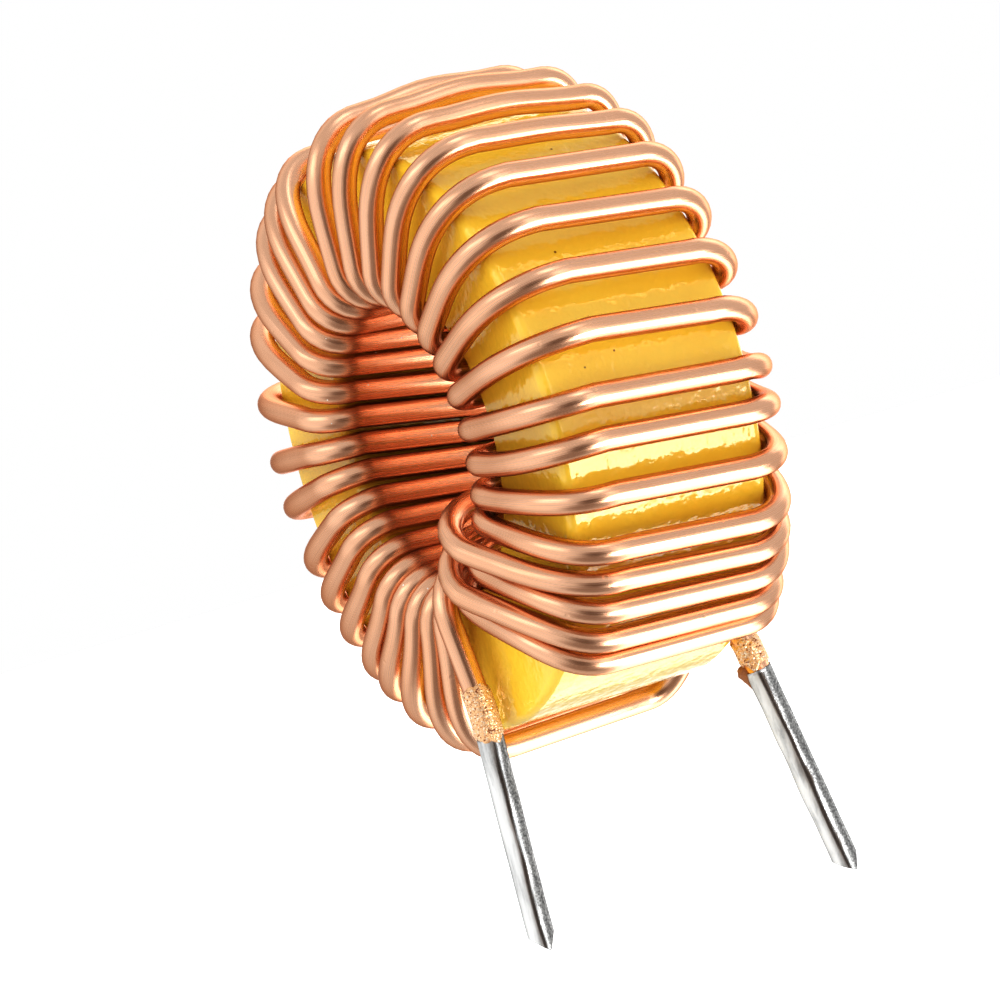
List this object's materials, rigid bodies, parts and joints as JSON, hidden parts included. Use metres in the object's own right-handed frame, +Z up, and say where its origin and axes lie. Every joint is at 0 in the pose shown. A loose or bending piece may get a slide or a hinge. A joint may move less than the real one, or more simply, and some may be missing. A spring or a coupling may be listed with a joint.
{
  "type": "toroidal inductor",
  "caption": "Upright toroidal inductor: a yellow coated powder ring wound with thick enamelled copper wire, with tinned leads pointing down.",
  "frame": {"origin": "axis of the front lead where it enters the board", "axes": "+Z up from the board, +Y along the ring's own axis from its front face to its rear face"},
  "size_m": [0.0306, 0.0173, 0.0392],
  "materials": {
    "yellow_coat": "glossy yellow epoxy coat",
    "copper_wire": "enamelled copper",
    "tin": "bright dipped tin"
  },
  "bodies": {
    "root": {"core": "yellow_coat", "winding": "copper_wire", "front_lead": "tin", "rear_lead": "tin"}
  },
  "joints": []
}
